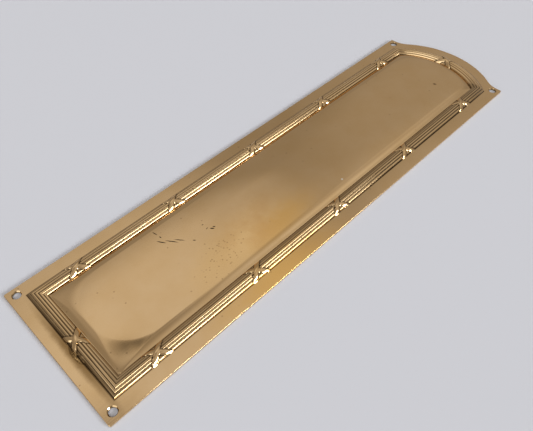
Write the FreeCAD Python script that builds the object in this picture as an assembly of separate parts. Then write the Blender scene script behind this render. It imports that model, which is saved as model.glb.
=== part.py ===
"""Door finger plate: one sheet of brass, pressed with a reed-and-ribbon border and a cushioned panel.

Frame: X across the plate, +Y towards the arched end, +Z out of the face, in millimetres.
The origin is in the back plane, at the middle of the plate's width and length.
An inset is a distance from the plate's edge towards its middle, seen from the front.
A station is a point (inset, z) of the pressed section that runs round the plate.
"""
import FreeCAD, Part
import math
import os

Vector = FreeCAD.Vector

# Sheet and outline
plate_width = 76.0
side_length = 264.7
arch_rise = 12.1
shoulder_ledge = 2.54
shoulder_blend = 12.0
corner_radius = 0.8
sheet = 0.9

# Border moulding: a band of round reeds lying on a low arch
flange_width = 6.8
frame_arch_radius = 51.6
reed_count = 5
reed_pitch = 1.28
reed_bulge = 0.36
reed_flat_count = 4
moulding_rise = 1.45
channel_margin = 0.35
channel_flat_count = 6

# Crossed ribbon ties over the moulding
ties_per_side = 5
tie_pitch = 52.2
bottom_tie_shift = 1.5
ribbon_width = 2.1
ribbon_slant = 47.0
ribbon_rise = 0.3
ribbon_overhang = 0.5
crossing_step = 0.25

# Cushioned panel inside the border
groove_floor = 0.3
roll_width = 3.8
roll_rise = 1.6
roll_bulge = 0.3
crown_width = 12.5
crown_rise = 0.3
crown_bulge = 0.075
foot_corner = 1.0
edge_corner = 14.0
crest_corner = 3.0
panel_flat_count = 4
back_wall_inset = 0.5

# Screw holes
hole_diameter = 3.4
countersink_diameter = 4.3
countersink_depth = 0.45
hole_from_side = 3.8
hole_from_bottom = 4.0
hole_from_shoulder = 3.2

# Places that follow from the sizes above
total_length = side_length + arch_rise
half_width = plate_width / 2.0
y_bottom = -total_length / 2.0
y_shoulder = y_bottom + side_length
y_apex = total_length / 2.0
frame_arch_y = y_apex - frame_arch_radius
moulding_width = reed_count * reed_pitch
moulding_inset = flange_width + moulding_width / 2.0
groove_inset = flange_width + moulding_width
panel_inset = groove_inset + groove_floor
crown_inset = panel_inset + roll_width


def corner_y(inset):
    """Where a side line meets the frame's arch, at this inset."""
    radius = frame_arch_radius - inset
    half = half_width - inset
    return frame_arch_y + math.sqrt(radius ** 2 - half ** 2)


def frame_corners(inset, z):
    """The frame's four corners at one station, from the bottom left round to the top left."""
    half = half_width - inset
    low = y_bottom + inset
    high = corner_y(inset)
    return [Vector(x, y, z) for x, y in ((-half, low), (half, low), (half, high), (-half, high))]


def frame_wire(inset, z):
    """Closed line round the plate at one station: three straight runs and an arc, meeting in mitres."""
    bottom_left, bottom_right, top_right, top_left = frame_corners(inset, z)
    apex = Vector(0, y_apex - inset, z)
    return Part.Wire([
        Part.makeLine(bottom_left, bottom_right),
        Part.makeLine(bottom_right, top_right),
        Part.Arc(top_right, apex, top_left).toShape(),
        Part.makeLine(top_left, bottom_left),
    ])


def cushion_wire(inset, z, corner):
    """Closed line like the frame's at one station, but with its corners rounded to this radius."""
    centres = frame_corners(inset + corner, z)
    left = Vector(-1, 0, 0)
    right = Vector(1, 0, 0)
    down = Vector(0, -1, 0)
    arch_right = (centres[2] - Vector(0, frame_arch_y, z)).normalize()
    arch_left = Vector(-arch_right.x, arch_right.y, 0)
    starts = (left, down, right, arch_left)
    ends = (down, right, arch_right, left)
    turns = []
    for centre, first, last in zip(centres, starts, ends):
        middle = (first + last).normalize()
        turns.append([centre + way * corner for way in (first, middle, last)])
    bottom_left, bottom_right, top_right, top_left = turns
    apex = Vector(0, y_apex - inset, z)
    return Part.Wire([
        Part.Arc(*bottom_left).toShape(),
        Part.makeLine(bottom_left[-1], bottom_right[0]),
        Part.Arc(*bottom_right).toShape(),
        Part.makeLine(bottom_right[-1], top_right[0]),
        Part.Arc(*top_right).toShape(),
        Part.Arc(top_right[-1], apex, top_left[0]).toShape(),
        Part.Arc(*top_left).toShape(),
        Part.makeLine(top_left[-1], bottom_left[0]),
    ])


def band(wires):
    """Faces that join closed lines to each other in turn."""
    return Part.makeLoft(wires, False, True).Faces


def closed_solid(faces):
    shell = Part.makeShell(faces)
    shell.sewShape()
    solid = Part.makeSolid(shell)
    if solid.Volume < 0:
        solid.reverse()
    return solid


def rounded(first, last, bulge, flats):
    """Stations after the first, along an arc that stands out from its chord by the bulge."""
    chord = Vector(last[0] - first[0], last[1] - first[1], 0)
    along = chord / chord.Length
    outward = Vector(-along.y, along.x, 0)
    radius = (chord.Length ** 2 / 4.0 + bulge ** 2) / (2.0 * bulge)
    half_angle = math.asin(chord.Length / (2.0 * radius))
    middle = Vector(*first, 0) + chord * 0.5 + outward * (bulge - radius)
    stations = []
    for step in range(1, flats + 1):
        angle = half_angle * (2.0 * step / flats - 1.0)
        point = middle + along * (radius * math.sin(angle)) + outward * (radius * math.cos(angle))
        stations.append((point.x, point.y))
    return stations


def arch_height(across, half_span, rise):
    """Height of a low circular arch of this rise, at a distance across from its middle."""
    radius = (half_span ** 2 + rise ** 2) / (2.0 * rise)
    return rise - radius + math.sqrt(radius ** 2 - across ** 2)


def reed_section():
    """The reeds: each is a round rib between two valleys that lie on the moulding's arch."""
    half_span = moulding_width / 2.0
    valleys = []
    for index in range(reed_count + 1):
        across = index * reed_pitch - half_span
        valleys.append((moulding_inset + across, sheet + arch_height(across, half_span, moulding_rise)))
    stations = [valleys[0]]
    for first, last in zip(valleys, valleys[1:]):
        stations += rounded(first, last, reed_bulge, reed_flat_count)
    return stations


def moulding():
    """The reeds carried round the plate on a plain block that reaches down to the back plane."""
    section = [(flange_width, 0)] + reed_section()
    wires = [frame_wire(*station) for station in section]
    return closed_solid([Part.Face(wires[0])] + band(wires) + [Part.Face(wires[-1])])


def panel_wires(lean, drop):
    """The panel's roll and soft crown, leaning in and dropped where it is seen from the back.

    The foot follows the border's corners, and the corners grow round as the roll rises.
    """
    foot = (panel_inset + lean, sheet - drop)
    edge = (crown_inset + lean, sheet + roll_rise - drop)
    crest = (crown_inset + crown_width + lean, sheet + roll_rise + crown_rise - drop)
    roll = [foot] + rounded(foot, edge, roll_bulge, panel_flat_count)
    crown = rounded(edge, crest, crown_bulge, panel_flat_count)
    wires = []
    for inset, z in roll:
        share = (inset - foot[0]) / roll_width
        wires.append(cushion_wire(inset, z, foot_corner + (edge_corner - foot_corner) * share))
    for inset, z in crown:
        share = (inset - edge[0]) / crown_width
        wires.append(cushion_wire(inset, z, edge_corner + (crest_corner - edge_corner) * share))
    return wires


def cushion():
    """The panel, on a plain block that reaches down to the back plane."""
    wires = [cushion_wire(panel_inset, 0, foot_corner)] + panel_wires(0, 0)
    return closed_solid([Part.Face(wires[0])] + band(wires) + [Part.Face(wires[-1])])


def hollow_channel():
    """Space behind the moulding: a plain round channel that leaves about one sheet under the reeds."""
    outer = (flange_width + channel_margin, 0)
    inner = (groove_inset - channel_margin, 0)
    roof = [outer] + rounded(outer, inner, moulding_rise, channel_flat_count)
    wires = [frame_wire(*station) for station in roof]
    return closed_solid(band(wires) + band([wires[-1], wires[0]]))


def hollow_panel():
    """Space behind the panel, one sheet below its face."""
    wires = panel_wires(back_wall_inset, sheet)
    return closed_solid([Part.Face(wires[0])] + band(wires) + [Part.Face(wires[-1])])


def flange():
    """Flat sheet in the plate's outline, with an arch that flows out of square shoulders in a hollow."""
    blend_x = half_width - shoulder_ledge
    blend_y = y_shoulder + shoulder_blend
    blend_drop = arch_rise - shoulder_blend
    arch_radius = (blend_x ** 2 + blend_drop ** 2 - shoulder_blend ** 2) / (2.0 * arch_rise)
    arch_y = y_apex - arch_radius
    reach = arch_radius + shoulder_blend
    half_turn = math.atan2(blend_x, blend_y - arch_y) / 2.0
    meet = Vector(blend_x, blend_y - arch_y, 0) * (arch_radius / reach) + Vector(0, arch_y, 0)
    hollow_x = blend_x - shoulder_blend * math.sin(half_turn)
    hollow = Vector(hollow_x, blend_y - shoulder_blend * math.cos(half_turn), 0)
    right = [
        Vector(half_width, y_bottom, 0),
        Vector(half_width, y_shoulder, 0),
        Vector(blend_x, y_shoulder, 0),
        hollow,
        meet,
    ]
    left = [Vector(-point.x, point.y, 0) for point in right]
    outline = Part.Wire([
        Part.makeLine(left[0], right[0]),
        Part.makeLine(right[0], right[1]),
        Part.makeLine(right[1], right[2]),
        Part.Arc(right[2], right[3], right[4]).toShape(),
        Part.Arc(right[4], Vector(0, y_apex, 0), left[4]).toShape(),
        Part.Arc(left[4], left[3], left[2]).toShape(),
        Part.makeLine(left[2], left[1]),
        Part.makeLine(left[1], left[0]),
    ])
    slab = Part.Face(outline).extrude(Vector(0, 0, sheet))
    outer_x = half_width - corner_radius
    corners = [
        edge for edge in slab.Edges
        if edge.BoundBox.ZLength > sheet / 2.0 and abs(edge.CenterOfMass.x) > outer_x
    ]
    return slab.makeFillet(corner_radius, corners)


def ribbon(slant, rise):
    """One ribbon of a tie at the origin: a slanted strip of a low arch that wraps the moulding."""
    half_span = moulding_width / 2.0 + ribbon_overhang
    crest = sheet + moulding_rise + reed_bulge + rise
    lean = math.radians(abs(slant))
    half_run = half_span * math.tan(lean) + ribbon_width / math.cos(lean)
    half_strip = half_span / math.cos(lean) + ribbon_width
    foot = Vector(half_span, -half_run, sheet / 2.0)
    far_foot = Vector(-half_span, -half_run, sheet / 2.0)
    wrap = Part.Wire([
        Part.Arc(foot, Vector(0, -half_run, crest), far_foot).toShape(),
        Part.makeLine(far_foot, foot),
    ])
    blank = Part.Face(wrap).extrude(Vector(0, half_run * 2.0, 0))
    corner = Vector(-half_strip, -ribbon_width / 2.0, 0)
    strip = Part.makeBox(half_strip * 2.0, ribbon_width, crest, corner)
    strip.rotate(Vector(0, 0, 0), Vector(0, 0, 1), slant)
    return blank.common(strip)


def knot(over_slant, turn):
    """Two crossed ribbons at the origin, the upper at this slant, with the run turned from the length."""
    upper = ribbon(over_slant, ribbon_rise + crossing_step)
    crossed = ribbon(-over_slant, ribbon_rise).fuse(upper)
    crossed.rotate(Vector(0, 0, 0), Vector(0, 0, 1), turn)
    return crossed


def ties():
    """All the knots. The upper ribbon falls from left to right on each of them, seen from the front."""
    run_low = y_bottom + moulding_inset
    run_middle = (run_low + corner_y(moulding_inset)) / 2.0
    run_x = half_width - moulding_inset
    end_knot = knot(ribbon_slant, 90)
    side_knot = knot(-ribbon_slant, 0)
    placed = [
        end_knot.translated(Vector(bottom_tie_shift, run_low, 0)),
        end_knot.translated(Vector(0, y_apex - moulding_inset, 0)),
    ]
    for index in range(ties_per_side):
        y = run_middle + (index - (ties_per_side - 1) / 2.0) * tie_pitch
        placed += [side_knot.translated(Vector(x, y, 0)) for x in (-run_x, run_x)]
    return placed


def screw_hole(x, y):
    drill = Part.makeCylinder(hole_diameter / 2.0, sheet, Vector(x, y, 0))
    sink_base = Vector(x, y, sheet - countersink_depth)
    sink = Part.makeCone(hole_diameter / 2.0, countersink_diameter / 2.0, countersink_depth, sink_base)
    return drill.fuse(sink)


def screw_holes():
    hole_x = half_width - hole_from_side
    rows = (y_bottom + hole_from_bottom, y_shoulder - hole_from_shoulder)
    return [screw_hole(x, y) for y in rows for x in (-hole_x, hole_x)]


plate = flange().fuse([moulding(), cushion()] + ties())
plate = plate.cut([hollow_channel(), hollow_panel()] + screw_holes())
solid = plate.Solids[0]
print(f"valid {plate.isValid()}, {len(plate.Solids)} solid, {len(plate.Faces)} faces, {plate.Volume:.0f} mm3")

os.makedirs("parts", exist_ok=True)
solid.exportStep("parts/finger_plate.step")
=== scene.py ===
import bmesh
import bpy
import math
from mathutils import Matrix, Vector


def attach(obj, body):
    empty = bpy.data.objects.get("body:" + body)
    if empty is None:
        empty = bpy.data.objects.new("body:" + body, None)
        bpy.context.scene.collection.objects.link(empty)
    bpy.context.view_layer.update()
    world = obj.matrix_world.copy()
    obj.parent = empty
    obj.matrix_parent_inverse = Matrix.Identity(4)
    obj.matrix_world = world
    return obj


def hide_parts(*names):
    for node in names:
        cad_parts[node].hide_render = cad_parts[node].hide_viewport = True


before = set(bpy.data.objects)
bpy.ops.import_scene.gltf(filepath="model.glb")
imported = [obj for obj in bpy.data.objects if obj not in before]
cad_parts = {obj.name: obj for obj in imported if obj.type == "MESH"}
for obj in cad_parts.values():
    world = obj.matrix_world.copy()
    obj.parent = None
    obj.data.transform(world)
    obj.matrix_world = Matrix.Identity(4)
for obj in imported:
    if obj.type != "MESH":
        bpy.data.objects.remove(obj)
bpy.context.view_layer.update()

# The finger plate: one sheet of brass about 0.9 mm thick, pressed in one stroke with a border of reeds
# bound by crossed ribbons, and with a cushioned panel inside it. It is hollow behind, and four pierced
# and countersunk holes let it be screwed to a door. Sizes are in millimetres until the mesh is done.
half_width = 38.0
y_bottom = -138.4
y_shoulder = 126.3
y_apex = 138.4
sheet = 0.9
hair = 0.001

plate = bmesh.new()
# Darkening per vertex: dirt in the hollows, and painted shade on parts of the border and in the screw holes.
dirt_and_shade = plate.verts.layers.float.new("dirt_and_shade")


def kind(geom, wanted):
    """The items of one kind among mixed geometry."""
    return [item for item in geom if isinstance(item, wanted)]


# The outline: its right half is drawn with a square shoulder, a hollow and the arch, then mirrored,
# filled, given the sheet's thickness and worn round along its upper edge.
arch_rise = y_apex - y_shoulder
shoulder_blend = 12.0
shoulder_ledge = 2.54
corner_round = 0.8
edge_wear = 0.2
blend_x = half_width - shoulder_ledge
blend_y = y_shoulder + shoulder_blend
arch_radius = (blend_x ** 2 + (arch_rise - shoulder_blend) ** 2 - shoulder_blend ** 2) / (2 * arch_rise)
arch_y = y_apex - arch_radius
shoulder_turn = math.atan2(blend_x, blend_y - arch_y)

corners = [(0, y_bottom), (half_width, y_bottom), (half_width, y_shoulder), (blend_x, y_shoulder)]
drawn = [plate.verts.new((x, y, sheet)) for x, y in corners]
for pair in zip(drawn, drawn[1:]):
    plate.edges.new(pair)
spun = bmesh.ops.spin(
    plate, geom=[drawn[-1]], cent=(blend_x, blend_y, sheet), axis=(0, 0, -1), angle=shoulder_turn, steps=12)
bmesh.ops.spin(
    plate, geom=kind(spun["geom_last"], bmesh.types.BMVert), cent=(0, arch_y, sheet), axis=(0, 0, 1),
    angle=shoulder_turn, steps=30)
bmesh.ops.mirror(plate, geom=plate.verts[:] + plate.edges[:], axis="X", merge_dist=hair)
top = bmesh.ops.contextual_create(plate, geom=plate.edges[:])["faces"]
square = [vert for vert in top[0].verts if abs(vert.co.x) > half_width - hair]
bmesh.ops.bevel(
    plate, geom=square, offset=corner_round, segments=5, profile=0.5, affect="VERTICES", material=-1)
upper_edge = plate.edges[:]
wall = bmesh.ops.extrude_edge_only(plate, edges=upper_edge)["geom"]
bmesh.ops.translate(plate, verts=kind(wall, bmesh.types.BMVert), vec=(0, 0, -sheet))
upper_edge = [edge for edge in plate.edges if all(vert.co.z > sheet / 2 for vert in edge.verts)]
bmesh.ops.bevel(
    plate, geom=upper_edge, offset=edge_wear, segments=3, profile=0.5, affect="EDGES", material=-1,
    clamp_overlap=True)
largest = max(plate.faces, key=lambda face: face.calc_area())
bmesh.ops.delete(plate, geom=[largest], context="FACES_ONLY")

# The border: five round reeds on a low arch, from the flat flange in to the narrow groove. A ring round
# the plate, three straight runs and an arch, is extruded inwards through the section.
frame_arch_radius = 51.6
frame_arch_y = y_apex - frame_arch_radius
flange_width = 6.8
reed_count = 5
reed_pitch = 1.28
reed_bulge = 0.36
moulding_half = reed_count * reed_pitch / 2
moulding_inset = flange_width + moulding_half
moulding_rise = 1.45
groove_inset = moulding_inset + moulding_half
groove_width = 0.3
panel_inset = groove_inset + groove_width
apron = 0.5


def corner_angle(inset):
    """Half of the arch's turn at this inset from the plate's edge."""
    return math.asin((half_width - inset) / (frame_arch_radius - inset))


def frame_ring(inset, z):
    """Closed line of edges round the plate: three straight runs, and an arch spun from its corner."""
    half = half_width - inset
    turn = corner_angle(inset)
    before = set(plate.edges)
    low_left = plate.verts.new((-half, y_bottom + inset, z))
    low_right = plate.verts.new((half, y_bottom + inset, z))
    top_left = plate.verts.new((-half, frame_arch_y + (frame_arch_radius - inset) * math.cos(turn), z))
    arch = bmesh.ops.spin(
        plate, geom=[top_left], cent=(0, frame_arch_y, z), axis=(0, 0, -1), angle=2 * turn, steps=56)
    top_right = kind(arch["geom_last"], bmesh.types.BMVert)[0]
    for pair in ((top_left, low_left), (low_left, low_right), (low_right, top_right)):
        plate.edges.new(pair)
    return [edge for edge in plate.edges if edge not in before]


def step_in(ring, old_inset, inset, z):
    """Extrude a ring towards the plate's middle. Its corners stay mitred."""
    grown = bmesh.ops.extrude_edge_only(plate, edges=ring)["geom"]
    turn = corner_angle(inset) / corner_angle(old_inset)
    radius = frame_arch_radius - inset
    for vert in kind(grown, bmesh.types.BMVert):
        if vert.co.y < 0:
            vert.co = (math.copysign(half_width - inset, vert.co.x), y_bottom + inset, z)
        else:
            angle = math.atan2(vert.co.x, vert.co.y - frame_arch_y) * turn
            vert.co = (radius * math.sin(angle), frame_arch_y + radius * math.cos(angle), z)
    return kind(grown, bmesh.types.BMEdge)


def press(ring, stations):
    """Carry a ring through the stations (inset, z) of a pressed section."""
    for old, new in zip(stations, stations[1:]):
        ring = step_in(ring, old[0], *new)
    return ring


def rounded(first, last, bulge, steps):
    """Stations after the first, along the arc that stands out from its chord by the bulge."""
    chord = Vector(last) - Vector(first)
    radius = (chord.length ** 2 / 4 + bulge ** 2) / (2 * bulge)
    outward = Vector((-chord.y, chord.x)).normalized()
    middle = (Vector(first) + Vector(last)) / 2 + outward * (bulge - radius)
    start = Vector(first) - middle
    turn = start.angle_signed(Vector(last) - middle)
    return [tuple(middle + Matrix.Rotation(-turn * step / steps, 2) @ start) for step in range(1, steps + 1)]


def low_arch(across, half_span, rise):
    """Height of a low circular arch at a distance across from its middle."""
    radius = (half_span ** 2 + rise ** 2) / (2 * rise)
    return rise - radius + math.sqrt(max(radius ** 2 - across ** 2, 0))


valleys = []
for index in range(reed_count + 1):
    across = index * reed_pitch - moulding_half
    valleys.append((moulding_inset + across, sheet + low_arch(across, moulding_half, moulding_rise)))
section = [(flange_width - apron, sheet), (flange_width - apron / 2, sheet), valleys[0]]
for first, last in zip(valleys, valleys[1:]):
    section += rounded(first, last, reed_bulge, steps=8)
section += [(groove_inset + groove_width / 2, sheet)]
rim = set(plate.faces)
press(frame_ring(*section[0]), section)
border = [face for face in plate.faces if face not in rim]

# Lines are cut across the border where the ties lie, to give the ribbons a fine mesh to rise from.
tie_pitch = 52.2
tie_reach = 5.4
tie_cut = 0.27
tie_low = y_bottom + moulding_inset
tie_high = frame_arch_y + (frame_arch_radius - moulding_inset) * math.cos(corner_angle(moulding_inset))
side_ties = [(tie_low + tie_high) / 2 + step * tie_pitch for step in (-2, -1, 0, 1, 2)]
bottom_tie = 1.5
side_reach = 60.0
arch_reach = 9.0


def cut_across(faces, axis, places):
    """Cut straight lines across faces at each place along an axis, from low to high."""
    for place in places:
        point = Vector((0, 0, 0))
        point[axis] = place
        normal = Vector((0, 0, 0))
        normal[axis] = 1
        geom = set(faces)
        for face in faces:
            geom.update(face.edges)
            geom.update(face.verts)
        split = bmesh.ops.bisect_plane(plate, geom=list(geom), dist=0.00001, plane_co=point, plane_no=normal)
        pieces = kind(split["geom"], bmesh.types.BMFace)
        faces = [face for face in pieces if max(vert.co[axis] for vert in face.verts) > place + hair]


def spread(middle):
    """Places of the cuts across one tie, from low to high."""
    count = round(tie_reach / tie_cut)
    return [middle + tie_cut * index for index in range(-count, count + 1)]


sides = []
bottom = []
arch = []
for face in border:
    middle = face.calc_center_median()
    if abs(middle.y) < side_reach:
        sides.append(face)
    elif middle.y < 0:
        bottom.append(face)
    elif abs(middle.x) < arch_reach:
        arch.append(face)
cut_across(sides, 1, [place for tie in side_ties for place in spread(tie)])
cut_across(bottom, 0, spread(bottom_tie))
cut_across(arch, 0, spread(0))

# The ties: two crossed ribbons each, convex across, that wrap the border and end just past its feet.
ribbon_half = 1.05
ribbon_slant = math.radians(47)
ribbon_span = moulding_half + apron
ribbon_stand = 0.3
ribbon_crest = sheet + moulding_rise + reed_bulge + ribbon_stand
ribbon_droop = 0.25
crossing_step = 0.25
clean_ribbon = 0.02
dirt_beside = 1.4


def ribbon(across, along, slant, crest):
    """Height of one ribbon at a point near its tie, and how far the point is off its middle line."""
    off = abs(along * math.cos(slant) - across * math.sin(slant)) / ribbon_half
    height = sheet / 2 + low_arch(across, ribbon_span, crest - sheet / 2) - ribbon_droop * off ** 3
    return (height if off < 1 else 0), off


def raise_tie(place):
    """Lift the ribbons of one tie. Its place gives a vertex's distance across and along the border."""
    for vert in plate.verts:
        across, along = place(vert.co)
        if abs(across) > ribbon_span - 0.01 or abs(along) > tie_reach + tie_cut:
            continue
        ground = vert.co.z
        under, under_off = ribbon(across, along, ribbon_slant, ribbon_crest)
        over, over_off = ribbon(across, along, -ribbon_slant, ribbon_crest + crossing_step)
        vert.co.z = max(ground, under, over)
        if vert.co.z > ground:
            vert[dirt_and_shade] = clean_ribbon
        elif min(under_off, over_off) < dirt_beside:
            vert[dirt_and_shade] = 1


# Dirt has stayed in the valleys of the reeds, in the groove and along the border's outer foot, and the arch
# has been rubbed nearly clean.
# Painted shade darkens the right's inner reeds and lies as a soft band up the border from its outer foot,
# widest at the bottom and also on the left and the arch. Each foot has the painted shade's strength and
# width.
arch_start = 119.0
right_side = 20.0
valley_width = 0.2
right_valley_width = 0.3
inner_start = valleys[3][0]
inner_shade = 0.4
arch_share = 0.3
bottom_foot_shade = (0.75, 1.7)
other_foot_shade = (0.5, 0.9)


def inset_at(co):
    """Inset of a point from the plate's edge, as the rings of the border count it."""
    inset = min(half_width - abs(co.x), co.y - y_bottom)
    if co.y > frame_arch_y:
        inset = min(inset, frame_arch_radius - math.hypot(co.x, co.y - frame_arch_y))
    return inset


def fade(gap, width):
    """Share of the dirt that is left at a gap from where it lies thickest."""
    return math.exp(-(gap / width) ** 2)


for vert in plate.verts:
    inset = inset_at(vert.co)
    if inset < flange_width - apron:
        continue
    right = vert.co.x > right_side
    low = vert.co.y - y_bottom < groove_inset
    on_arch = vert.co.y > arch_start
    nearest = min(abs(inset - valley[0]) for valley in valleys)
    vert[dirt_and_shade] = fade(nearest, right_valley_width if right else valley_width)
    if right and inner_start < inset < groove_inset:
        vert[dirt_and_shade] = max(vert[dirt_and_shade], inner_shade)
    if on_arch and inset < groove_inset:
        vert[dirt_and_shade] *= arch_share
    if inset > flange_width - hair and (low or on_arch or not right):
        strength, width = bottom_foot_shade if low else other_foot_shade
        vert[dirt_and_shade] = max(vert[dirt_and_shade], strength * fade(inset - flange_width, width))

run_x = half_width - moulding_inset
arch_run = frame_arch_radius - moulding_inset
for tie in side_ties:
    raise_tie(lambda co: (co.x + run_x, co.y - tie))
    raise_tie(lambda co: (co.x - run_x, co.y - tie))
raise_tie(lambda co: (co.y - tie_low, co.x - bottom_tie))
raise_tie(lambda co: (
    math.hypot(co.x, co.y - frame_arch_y) - arch_run, co.x if co.y > frame_arch_y else math.inf))

# The panel: a roll that rises from the groove to the panel's edge, and a low crown inside it. The foot
# follows the border's corners, which grow round as the roll rises, like a cushion's. The lower right one
# is flattened.
roll_width = 3.8
roll_rise = 1.6
crown_width = 12.5
crown_rise = 0.3
roll_bulge = 0.3
crown_bulge = 0.075
foot_corner = 1.0
edge_corner = 18.4
crest_corner = 3.0
corner_dip = 0.18
panel_edge = (roll_width, roll_rise)
panel_crest = (roll_width + crown_width, roll_rise + crown_rise)
swell = [(0, 0)] + rounded((0, 0), panel_edge, roll_bulge, steps=12)
swell += rounded(panel_edge, panel_crest, crown_bulge, steps=30)


def cushion_line(inset, z, corner, dip):
    """Points of a closed line like the border's, but with round corners, one of them sunk by the dip."""
    half = half_width - inset - corner
    reach = frame_arch_radius - inset
    lean = math.degrees(math.asin(half / (reach - corner)))
    low = y_bottom + inset + corner
    high = frame_arch_y + math.sqrt((reach - corner) ** 2 - half ** 2)
    # Each bend: its middle, radius, first and last angle, steps, number of points and dip.
    bends = (
        (half, low, corner, -90, 0, 12, 13, dip),
        (half, high, corner, 0, 90 - lean, 12, 12, 0),
        (0, frame_arch_y, reach, 90 - lean, 90 + lean, 40, 40, 0),
        (-half, high, corner, 90 + lean, 180, 12, 13, 0),
        (-half, low, corner, 180, 270, 12, 13, 0),
    )
    points = []
    for x, y, radius, first, last, steps, count, sunk in bends:
        for step in range(count):
            angle = math.radians(first + (last - first) * step / steps)
            height = z - sunk * math.sin(math.pi * step / steps)
            points.append((x + radius * math.cos(angle), y + radius * math.sin(angle), height))
    return points


def raise_cushion(lean, drop):
    """Raise the panel and close it, set in by the lean and lowered by the drop. Give its foot's edges."""
    lines = []
    for gap, height in swell:
        corner = foot_corner + (edge_corner - foot_corner) * gap / roll_width
        if gap > roll_width:
            corner = edge_corner + (crest_corner - edge_corner) * (gap - roll_width) / crown_width
        dip = corner_dip * math.sin(math.pi * min(gap / roll_width, 1))
        lines.append(cushion_line(panel_inset + lean + gap, sheet + height - drop, corner, dip))
    ring = [plate.verts.new(point) for point in lines[0]]
    foot = [plate.edges.new(pair) for pair in zip(ring, ring[1:] + ring[:1])]
    edges = foot
    for line in lines[1:]:
        grown = bmesh.ops.extrude_edge_only(plate, edges=edges)["geom"]
        edges = kind(grown, bmesh.types.BMEdge)
        fresh = set(kind(grown, bmesh.types.BMVert))
        mates = [{item.other_vert(vert) for item in vert.link_edges} & fresh for vert in ring]
        ring = [mate.pop() for mate in mates]
        for vert, point in zip(ring, line):
            vert.co = point
    bmesh.ops.contextual_create(plate, geom=edges)
    return foot


groove = [item for item in plate.edges if item.is_boundary and inset_at(item.verts[0].co) > groove_inset]
bmesh.ops.triangle_fill(plate, edges=groove + raise_cushion(0, 0), use_beauty=True, normal=(0, 0, 1))

# The back: a plain round channel behind the border and a hollow behind the panel.
channel_margin = 0.35
back_inset = 0.5
channel = ((flange_width + channel_margin, 0), (groove_inset - channel_margin, 0))
roof = [channel[0]] + rounded(*channel, moulding_rise, steps=12)
strip = press(frame_ring(*roof[0]), roof)
hollow = raise_cushion(back_inset, sheet)
bmesh.ops.triangle_fill(plate, edges=strip + hollow, use_beauty=True, normal=(0, 0, 1))

# The screw holes: pierced, and countersunk from the front. Their walls are darkened with painted shade.
hole_x = half_width - 3.8
low_hole_y = y_bottom + 4.0
high_hole_y = y_shoulder - 3.2
hole_radius = 1.7
mouth_radius = 2.15
sink_depth = 0.45
hole_shade = 0.8
for x in (-hole_x, hole_x):
    for y in (low_hole_y, high_hole_y):
        place = Matrix.Translation((x, y, sheet))
        mouth = bmesh.ops.create_circle(plate, segments=40, radius=mouth_radius, matrix=place)["verts"]
        loop = list({edge for vert in mouth for edge in vert.link_edges})
        for shrink, z in ((hole_radius / mouth_radius, sheet - sink_depth), (1, 0)):
            grown = bmesh.ops.extrude_edge_only(plate, edges=loop)["geom"]
            verts = kind(grown, bmesh.types.BMVert)
            bmesh.ops.scale(plate, verts=verts, vec=(shrink, shrink, 1), space=place.inverted())
            for vert in verts:
                vert.co.z = z
                vert[dirt_and_shade] = hole_shade
            loop = kind(grown, bmesh.types.BMEdge)

# The flat flange is filled in, before and behind, between the outline, the border and the holes. Then the
# mesh is merged, turned outwards, brought to metres and given its sharp edges.
merge_gap = 0.0001
millimetre = 0.001
sharp_angle = math.radians(38)
for z in (sheet, 0):
    flat = [edge for edge in plate.edges if all(abs(vert.co.z - z) < merge_gap for vert in edge.verts)]
    open_edges = [edge for edge in flat if len(edge.link_faces) == 1]
    bmesh.ops.triangle_fill(plate, edges=open_edges, use_beauty=True, normal=(0, 0, 1))
    for edge in open_edges:
        edge.smooth = False
bmesh.ops.remove_doubles(plate, verts=plate.verts[:], dist=merge_gap)
bmesh.ops.recalc_face_normals(plate, faces=plate.faces[:])
bmesh.ops.scale(plate, verts=plate.verts[:], vec=(millimetre, millimetre, millimetre))
for face in plate.faces:
    face.smooth = True
for edge in plate.edges:
    if edge.calc_face_angle(0) > sharp_angle:
        edge.smooth = False
mesh = bpy.data.meshes.new("pressed_plate")
plate.to_mesh(mesh)
plate.free()
pressed_plate = bpy.data.objects.new("pressed_plate", mesh)
bpy.context.collection.objects.link(pressed_plate)


def colour(code):
    """Linear colour of an sRGB hex value."""
    parts = [int(code[start:start + 2], 16) / 255 for start in (0, 2, 4)]
    return [part / 12.92 if part <= 0.04045 else ((part + 0.055) / 1.055) ** 2.4 for part in parts] + [1]


# Aged brass: rolled sheet, polished long ago and dulled since. It gives clear warm reflections that a
# slight waviness of the sheet bends, golden and brown stains on its right half, scratches and specks.
aged_brass = bpy.data.materials.new("aged_brass")
aged_brass.use_nodes = True
tree = aged_brass.node_tree
tree.nodes.clear()
pale_brass = colour("E2C498")
warm_brass = colour("D6B27C")
golden_film = colour("DEB26A")
warm_film = colour("E0BC84")
brown_stain = colour("C08E50")
flange_shade_colour = colour("8A6C42")
dark_tarnish = colour("6A4826")
black_dirt_and_shade = colour("2A1C0E")
pale_fleck = colour("FFF6E6")


def add(kind_name, values=None, links=None, **settings):
    """Add a node with its settings, the values of its sockets, and the outputs linked to them."""
    item = tree.nodes.new(kind_name)
    for name, value in settings.items():
        setattr(item, name, value)
    for socket, value in (values or {}).items():
        item.inputs[socket].default_value = value
    for socket, source in (links or {}).items():
        tree.links.new(source, item.inputs[socket])
    return item


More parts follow.
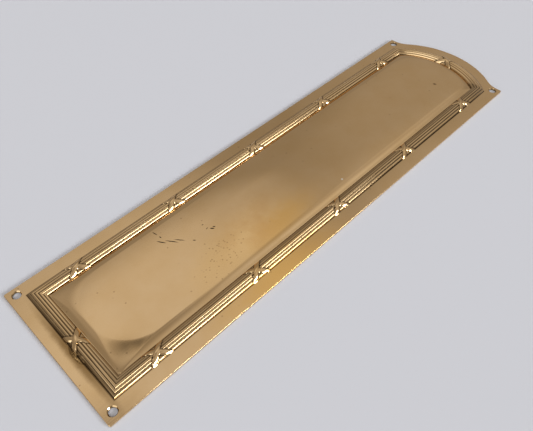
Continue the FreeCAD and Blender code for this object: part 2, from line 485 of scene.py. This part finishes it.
# Cloudy variation of the metal, in broad patches and in fine ones that make the stains ragged.
mottle_size = 15.4
cloud_size = 3.125
where = add("ShaderNodeTexCoord").outputs["Object"]
mottle = add(
    "ShaderNodeTexNoise", {"Scale": 1 / (mottle_size * millimetre), "Detail": 5, "Roughness": 0.6},
    {"Vector": where})
cloud = add(
    "ShaderNodeTexNoise", {"Scale": 1 / (cloud_size * millimetre), "Detail": 4, "Roughness": 0.7},
    {"Vector": where})
metal = add(
    "ShaderNodeMix", {"A": pale_brass, "B": warm_brass}, {"Factor": mottle.outputs["Fac"]}, data_type="RGBA")
ragged = add("ShaderNodeVectorMath", {1: (0.5, 0.5, 0.5)}, {0: cloud.outputs["Color"]}, operation="SUBTRACT")


def patch(middle, turn, reach, full, warp):
    """Strength of an oval patch, from its middle and reach in mm, its turn in degrees, the share of its
    reach within which it is full, and how far in mm its edge is warped."""
    moved = add(
        "ShaderNodeVectorMath", {1: Vector((warp, warp, 0)) * millimetre},
        {0: ragged.outputs["Vector"], 2: where}, operation="MULTIPLY_ADD")
    size = {"Location": Vector(middle) * millimetre, "Scale": Vector(reach) * millimetre}
    laid = add(
        "ShaderNodeMapping", {**size, "Rotation": (0, 0, math.radians(turn))},
        {"Vector": moved.outputs["Vector"]}, vector_type="TEXTURE")
    gap = add("ShaderNodeVectorMath", links={0: laid.outputs["Vector"]}, operation="LENGTH")
    return add(
        "ShaderNodeMapRange", {"From Min": 1.0, "From Max": full}, {"Value": gap.outputs["Value"]},
        interpolation_type="SMOOTHSTEP").outputs["Result"]


# What is laid over the metal's colour, from the first to the last: a warm film on the panel's right half,
# golden films on the right flange and beside it, brown stains in clouds, painted shade on the flange along
# the outer foot of the bottom border, a dark spot near the arch and a pale fleck.
blotch = add(
    "ShaderNodeMapRange", {"From Min": 0.36, "From Max": 0.66, "To Max": 0.38},
    {"Value": mottle.outputs["Fac"]}, interpolation_type="SMOOTHSTEP")
stain = patch((13, -45, 3.1), 30, (19, 36, 1.2), 0.1, 9)
stained = add("ShaderNodeMath", links={0: stain, 1: blotch.outputs["Result"]}, operation="MULTIPLY")
layers = [
    (warm_film, patch((17, -52, 3.1), 12, (23, 46, 1.3), 0.35, 9)),
    (golden_film, patch((35, -48, 1.3), 0, (13, 54, 1.2), 0.25, 9)),
    (golden_film, patch((20, -32, 3.1), 14, (14, 34, 1.3), 0.15, 8)),
    (brown_stain, stained.outputs["Value"]),
    # Painted shade: a soft dark band on the flange beside the bottom border's outer foot.
    (flange_shade_colour, patch((6, -132.4, 1.3), 0, (42, 3.4, 1.2), 0.25, 1.6)),
    (dark_tarnish, patch((8.6, 103.1, 2.7), 0, (1.5, 1.1, 0.7), 0.0, 1.0)),
    (pale_fleck, patch((19.4, 8.5, 2.7), 0, (0.7, 0.7, 0.7), 0.6, 0.4)),
]

# Pitted specks up to 1 mm across, thick in one place and sparse elsewhere.
speck_gap = 1.11
pits = add("ShaderNodeTexVoronoi", {"Scale": 1 / (speck_gap * millimetre)}, {"Vector": where})
pick = add("ShaderNodeSeparateColor", links={"Color": pits.outputs["Color"]})
spot = add(
    "ShaderNodeMapRange", {"From Min": 0.45, "From Max": 0.05, "To Max": 0.5},
    {"Value": pits.outputs["Distance"]})
thick = patch((14, -63, 3.1), 25, (13, 22, 1.2), 0.1, 6)
crowd = add("ShaderNodeMapRange", {"To Min": 0.993, "To Max": 0.4}, {"Value": thick})
chosen = add(
    "ShaderNodeMath", links={0: pick.outputs["Red"], 1: crowd.outputs["Result"]}, operation="GREATER_THAN")
speck = add(
    "ShaderNodeMath", links={0: spot.outputs["Result"], 1: chosen.outputs["Value"]}, operation="MULTIPLY")
layers.append((dark_tarnish, speck.outputs["Value"]))

# Scratches on the panel's face, filled with dirt: each one's two ends and its width, in mm.
scratches = (
    ((-20.0, -75.7), (-16.4, -75.1), 0.6),
    ((-15.5, -75.2), (-13.9, -74.8), 0.7),
    ((-14.5, -77.8), (-9.8, -74.9), 0.65),
    ((-12.2, -75.0), (-6.0, -70.8), 0.65),
    ((-9.8, -71.9), (-5.1, -68.2), 0.6),
    ((-3.4, -66.2), (-1.9, -65.0), 0.6),
    ((-3.1, -56.6), (-1.1, -54.7), 0.95),
    ((-2.9, -55.1), (-1.8, -53.7), 0.7),
    ((-3.5, -58.1), (-4.0, -56.5), 0.45),
    ((-6.9, -57.9), (-6.6, -56.8), 0.55),
)
for start, end, width in scratches:
    run = Vector(end) - Vector(start)
    middle = (Vector(start) + Vector(end)) / 2
    turn = math.degrees(math.atan2(run.y, run.x))
    stroke = patch((middle.x, middle.y, 2.7), turn, (run.length / 2, width / 2, 0.7), 0.45, 0.5)
    layers.append((black_dirt_and_shade, stroke))

# Dirt in the hollows, and painted shade on parts of the border and in the screw holes, made uneven by the
# fine clouds.
dirt_and_shade_reader = add("ShaderNodeAttribute", attribute_name="dirt_and_shade")
held = add("ShaderNodeMapRange", {"To Min": 0.7, "To Max": 1.0}, {"Value": cloud.outputs["Fac"]})
uneven_dirt_and_shade = add(
    "ShaderNodeMath", links={0: dirt_and_shade_reader.outputs["Fac"], 1: held.outputs["Result"]}, operation="MULTIPLY")
layers.append((black_dirt_and_shade, uneven_dirt_and_shade.outputs["Value"]))

surface = metal.outputs["Result"]
for shade, strength in layers:
    laid = add("ShaderNodeMix", {"B": shade}, {"Factor": strength, "A": surface}, data_type="RGBA")
    surface = laid.outputs["Result"]

# Uneven polish, waves in the sheet, a crumpled place at the foot of the bottom border, and lines of old
# polishing along the sheet. The real lines are finer: these are drawn coarser, so that they show.
wave_length = 29.4
wave_height = 0.15
crumple_height = 1.2
polish_gap = 0.5
polish_height = 0.006
shine = add("ShaderNodeMapRange", {"To Min": 0.05, "To Max": 0.14}, {"Value": mottle.outputs["Fac"]})
wave = add("ShaderNodeTexNoise", {"Scale": 1 / (wave_length * millimetre), "Detail": 1}, {"Vector": where})
waves = add(
    "ShaderNodeBump", {"Strength": 1.0, "Distance": wave_height * millimetre},
    {"Height": wave.outputs["Fac"]})
crush = patch((6.5, -131.6, 1.3), 0, (6, 1.7, 1.2), 0.35, 1)
crushed = add("ShaderNodeMath", links={0: crush, 1: cloud.outputs["Fac"]}, operation="MULTIPLY")
crumple = add(
    "ShaderNodeBump", {"Strength": 1.0, "Distance": crumple_height * millimetre},
    {"Height": crushed.outputs["Value"], "Normal": waves.outputs["Normal"]})
drawn_out = add("ShaderNodeMapping", {"Scale": (1, 0.04, 1)}, {"Vector": where})
lines = add(
    "ShaderNodeTexNoise", {"Scale": 1 / (polish_gap * millimetre), "Detail": 2},
    {"Vector": drawn_out.outputs["Vector"]})
polish = add(
    "ShaderNodeBump", {"Strength": 0.6, "Distance": polish_height * millimetre},
    {"Height": lines.outputs["Fac"], "Normal": crumple.outputs["Normal"]})
shader = add(
    "ShaderNodeBsdfPrincipled", {"Metallic": 1.0},
    {"Base Color": surface, "Roughness": shine.outputs["Result"], "Normal": polish.outputs["Normal"]})
add("ShaderNodeOutputMaterial", links={"Surface": shader.outputs["BSDF"]})
mesh.materials.append(aged_brass)
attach(pressed_plate, "root")
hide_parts("finger_plate")

# The floor: a wide flat sheet of plain pale paper, laid just under the plate. It only takes the plate's
# soft shadow and is no piece of the object. Its sizes are in metres.
floor_half = 3
floor_drop = 0.0002
ground = bmesh.new()
bmesh.ops.create_grid(ground, x_segments=1, y_segments=1, size=floor_half)
bmesh.ops.translate(ground, verts=ground.verts[:], vec=(0, 0, -floor_drop))
floor_mesh = bpy.data.meshes.new("floor")
ground.to_mesh(floor_mesh)
ground.free()
floor = bpy.data.objects.new("floor", floor_mesh)
bpy.context.collection.objects.link(floor)

# Matte grey paper: uncoated, so that it spreads the light evenly and shows no gloss or grain.
matte = bpy.data.materials.new("matte_grey_paper")
matte.use_nodes = True
tree = matte.node_tree
tree.nodes.clear()
paper = add("ShaderNodeBsdfPrincipled", {"Base Color": colour("CDCED2"), "Roughness": 0.9})
add("ShaderNodeOutputMaterial", links={"Surface": paper.outputs["BSDF"]})
floor_mesh.materials.append(matte)

# Studio light: an even dome with a few soft lights on it, which the polished plate mirrors. Each has a
# direction, the angles in degrees from it at which it starts and is full, and a strength. Those with a
# strength below zero are dark cards, which take light away. Weak light is warm and strong light cool.
even_glow = 0.36
weak_colour = colour("FFF4EA")
strong_colour = colour("F4F8FF")
room = bpy.data.worlds.new("room")
room.use_nodes = True
tree = room.node_tree
tree.nodes.clear()
ray = add("ShaderNodeTexCoord").outputs["Generated"]
lights = (
    # The main light, high on the left, and a small one beside it.
    ((-0.43, 0.2, 0.88), 22, 6, 0.44),
    ((-0.42, 0.47, 0.78), 8, 3, 0.12),
    # A row of dark cards in front of the main light.
    ((-0.39, 0.01, 0.92), 5, 2, -0.33),
    ((-0.35, 0.05, 0.93), 5, 2, -0.22),
    ((-0.31, 0.11, 0.94), 5, 2, -0.38),
    ((-0.22, 0.18, 0.96), 6, 2, -0.3),
    # Weak lights: on the left, behind on the left, and high up behind, on the right and in front.
    ((-0.6, -0.15, 0.78), 20, 6, 0.1),
    ((-0.3, 0.75, 0.6), 18, 5, 0.1),
    ((0.0, 0.56, 0.83), 25, 8, 0.2),
    ((0.5, 0.4, 0.77), 36, 5, 0.3),
    ((0.05, -0.52, 0.85), 28, 12, 0.5),
    # A broad light low in front.
    ((0.2, -0.9, 0.38), 40, 18, 1.9),
    # A row of three strong lights low on the right.
    ((0.93, 0.14, 0.33), 9, 5, 24.0),
    ((0.87, 0.34, 0.34), 9, 5, 24.0),
    ((0.79, 0.49, 0.35), 9, 5, 16.0),
)
glow = add("ShaderNodeMath", {0: even_glow, 1: 0.0}, operation="ADD")
for toward, start, full, strength in lights:
    facing = add(
        "ShaderNodeVectorMath", {1: Vector(toward).normalized()}, {0: ray}, operation="DOT_PRODUCT")
    limits = {"From Min": math.cos(math.radians(start)), "From Max": math.cos(math.radians(full))}
    light = add(
        "ShaderNodeMapRange", {**limits, "To Max": strength}, {"Value": facing.outputs["Value"]},
        interpolation_type="SMOOTHSTEP")
    glow = add(
        "ShaderNodeMath", links={0: glow.outputs["Value"], 1: light.outputs["Result"]}, operation="ADD")
bright = add("ShaderNodeMapRange", {"From Min": 0.3, "From Max": 1.5}, {"Value": glow.outputs["Value"]})
cast = add(
    "ShaderNodeMix", {"A": weak_colour, "B": strong_colour}, {"Factor": bright.outputs["Result"]},
    data_type="RGBA")
dome = add(
    "ShaderNodeBackground", links={"Color": cast.outputs["Result"], "Strength": glow.outputs["Value"]})
add("ShaderNodeOutputWorld", links={"Surface": dome.outputs["Background"]})
bpy.context.scene.world = room

# The camera: it stands where the photograph was taken from, to the right of the plate's lower end and
# above it. Its place is in metres, and its lens is as long as the photograph's perspective tells.
camera_place = (0.12605, -0.14653, 0.19131)
to_right = Vector((0.707708, 0.706399, -0.012225))
to_top = Vector((-0.529947, 0.542213, 0.652044))
focal_pixels = 548.087
photo_width = 533
lens = bpy.data.cameras.new("camera")
lens.sensor_width = 36
lens.lens = focal_pixels * lens.sensor_width / photo_width
lens.clip_start = 0.01
camera = bpy.data.objects.new("camera", lens)
turned = Matrix((to_right, to_top, to_right.cross(to_top))).transposed().to_4x4()
camera.matrix_world = Matrix.Translation(camera_place) @ turned
bpy.context.collection.objects.link(camera)
bpy.context.scene.camera = camera
bpy.context.scene.view_settings.view_transform = "Standard"
